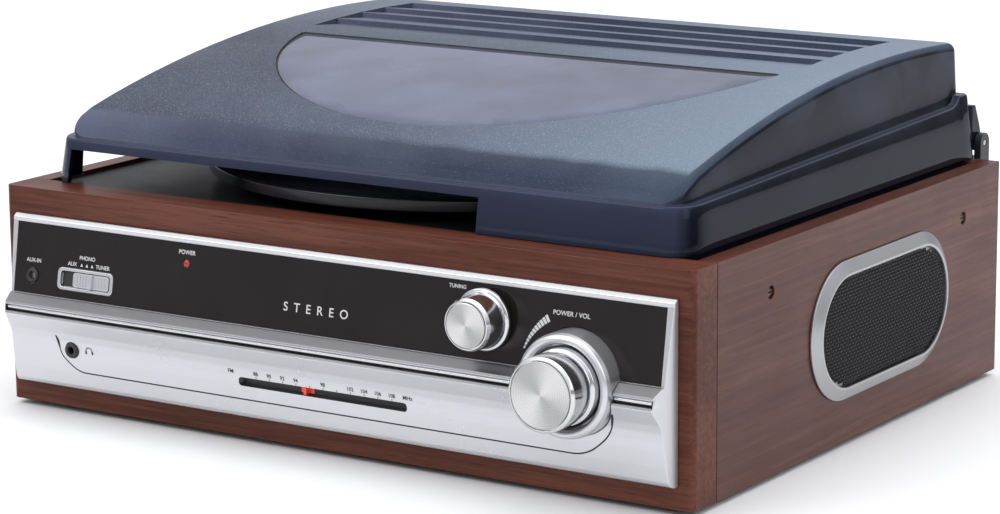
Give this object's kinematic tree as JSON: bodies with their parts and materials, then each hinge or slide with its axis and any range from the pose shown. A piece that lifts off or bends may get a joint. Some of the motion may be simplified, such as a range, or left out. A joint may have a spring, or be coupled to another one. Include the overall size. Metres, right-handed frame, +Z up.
{
  "type": "turntable record player",
  "caption": "Wooden-cased record player with radio: belt-driven platter, tonearm, hinged smoked dust cover, moulded front fascia with knobs and dial, and a speaker in each side.",
  "frame": {"origin": "on the surface the feet stand on, below the middle of the whole object's box", "axes": "+X to the right seen from the front, +Y to the back, +Z up"},
  "size_m": [0.4286, 0.3824, 0.185],
  "materials": {
    "wood": "satin reddish-brown wood foil with fine dark grain",
    "raw_wood": "plain board",
    "silver": "silver-painted satin plastic",
    "chrome": "polished chrome",
    "aluminium": "spun aluminium",
    "panel_black": "smooth black-brown panel",
    "black_plastic": "satin black plastic",
    "rubber": "matt black rubber",
    "deck": "satin grey-blue plastic",
    "steel": "plain steel",
    "brass": "plain brass",
    "led_red": "red lens",
    "pointer_red": "red plastic",
    "cartridge_red": "dark red plastic",
    "circuit_board": "green laminate",
    "grille": "black perforated metal",
    "smoked_cover": "smoked blue-grey translucent plastic, satin on top, glossy at the sides"
  },
  "bodies": {
    "cabinet": {"front_board": "wood", "left_side_board": "wood", "right_side_board": "wood", "back_board": "wood", "base_board": "raw_wood", "front_fascia": "silver", "control_panel": "panel_black", "trim_bar_long": "chrome", "trim_bar_short": "chrome", "power_led": "led_red", "aux_jack": "black_plastic", "headphone_jack": "black_plastic", "volume_ring": "silver", "control_board": "circuit_board", "main_circuit_board": "circuit_board", "power_transformer": "steel", "rear_panel": "black_plastic", "line_out_sockets": "aluminium", "mains_inlet": "black_plastic", "deck_plate": "deck", "adapter_45": "black_plastic", "spindle_bearing": "brass", "drive_belt": "rubber", "motor": "steel", "tonearm_base": "black_plastic", "arm_rest": "black_plastic", "speaker_bezel_left": "silver", "speaker_grille_left": "grille", "speaker_driver_left": "steel", "hinge_bracket_left": "black_plastic", "hinge_pin_left": "steel", "foot_front_left": "rubber", "foot_rear_left": "rubber", "speaker_bezel_right": "silver", "speaker_grille_right": "grille", "speaker_driver_right": "steel", "hinge_bracket_right": "black_plastic", "hinge_pin_right": "steel", "foot_front_right": "rubber", "foot_rear_right": "rubber"},
    "cover": {"dust_cover": "smoked_cover"},
    "platter": {"platter": "black_plastic", "platter_mat": "rubber", "spindle": "steel"},
    "motor_pulley": {"motor_pulley": "brass"},
    "arm_yoke": {"tonearm_gimbal": "aluminium"},
    "tonearm": {"tonearm_tube": "aluminium", "counterweight": "black_plastic", "headshell": "black_plastic", "cartridge": "cartridge_red"},
    "cue_lever": {"cue_lever": "black_plastic"},
    "cue_lifter": {"cue_lifter": "steel"},
    "speed_lever": {"speed_lever": "black_plastic"},
    "function_knob": {"function_switch_knob": "silver"},
    "tuning_knob": {"tuning_knob": "chrome", "tuning_knob_cap": "aluminium"},
    "tuning_drum": {"tuning_drum": "black_plastic"},
    "dial_pointer": {"dial_pointer": "pointer_red"},
    "volume_knob": {"volume_knob": "chrome", "volume_knob_cap": "aluminium"}
  },
  "joints": [
    {"name": "cover_hinge", "type": "hinge", "parent": "cabinet", "child": "cover", "pos_m": [0, 0.1856, 0.127], "axis": [-1, 0, 0], "range_deg": [0, 65]},
    {"name": "platter_spin", "type": "hinge", "parent": "cabinet", "child": "platter", "pos_m": [-0.021, 0.0196, 0.13], "axis": [0, 0, -1], "continuous": true},
    {"name": "motor_pulley_spin", "type": "hinge", "parent": "cabinet", "child": "motor_pulley", "pos_m": [-0.11188, 0.09487, 0.121], "axis": [0, 0, -1], "continuous": true},
    {"name": "arm_swing", "type": "hinge", "parent": "cabinet", "child": "arm_yoke", "pos_m": [0.15, 0.1316, 0.13], "axis": [0, 0, -1], "range_deg": [0, 42]},
    {"name": "arm_lift", "type": "hinge", "parent": "arm_yoke", "child": "tonearm", "pos_m": [0.15, 0.1316, 0.142], "axis": [-1, 0, 0], "range_deg": [0, 2.5]},
    {"name": "cue_lever_turn", "type": "hinge", "parent": "cabinet", "child": "cue_lever", "pos_m": [0.174, 0.1096, 0.125], "axis": [-1, 0, 0], "range_deg": [0, 75]},
    {"name": "cue_lifter_slide", "type": "slide", "parent": "cabinet", "child": "cue_lifter", "axis": [0, 0, 1], "range_m": [0, 0.0013]},
    {"name": "speed_select", "type": "slide", "parent": "cabinet", "child": "speed_lever", "axis": [0, -1, 0], "range_m": [0, 0.012]},
    {"name": "function_select", "type": "slide", "parent": "cabinet", "child": "function_knob", "axis": [-1, 0, 0], "range_m": [0, 0.008]},
    {"name": "tuning_turn", "type": "hinge", "parent": "cabinet", "child": "tuning_knob", "pos_m": [0.0995, -0.1664, 0.0849], "axis": [0, 1, 0], "range_deg": [-385, 700]},
    {"name": "drum_turn", "type": "hinge", "parent": "cabinet", "child": "tuning_drum", "pos_m": [0.056, -0.1344, 0.065], "axis": [0, 1, 0], "range_deg": [-64, 117]},
    {"name": "pointer_slide", "type": "slide", "parent": "cabinet", "child": "dial_pointer", "axis": [1, 0, 0], "range_m": [-0.0297, 0.0539]},
    {"name": "volume_turn", "type": "hinge", "parent": "cabinet", "child": "volume_knob", "pos_m": [0.1505, -0.1664, 0.0605], "axis": [0, 1, 0], "range_deg": [-150, 150]}
  ],
  "couplings": [
    {"joint": "motor_pulley_spin", "follows": "platter_spin", "ratio": 17.273},
    {"joint": "arm_lift", "follows": "cue_lever_turn", "ratio": 0.033333},
    {"joint": "cue_lifter_slide", "follows": "cue_lever_turn", "m_per_rad": 0.00099},
    {"joint": "drum_turn", "follows": "tuning_turn", "ratio": 0.1654},
    {"joint": "pointer_slide", "follows": "tuning_turn", "m_per_rad": 0.0044}
  ]
}
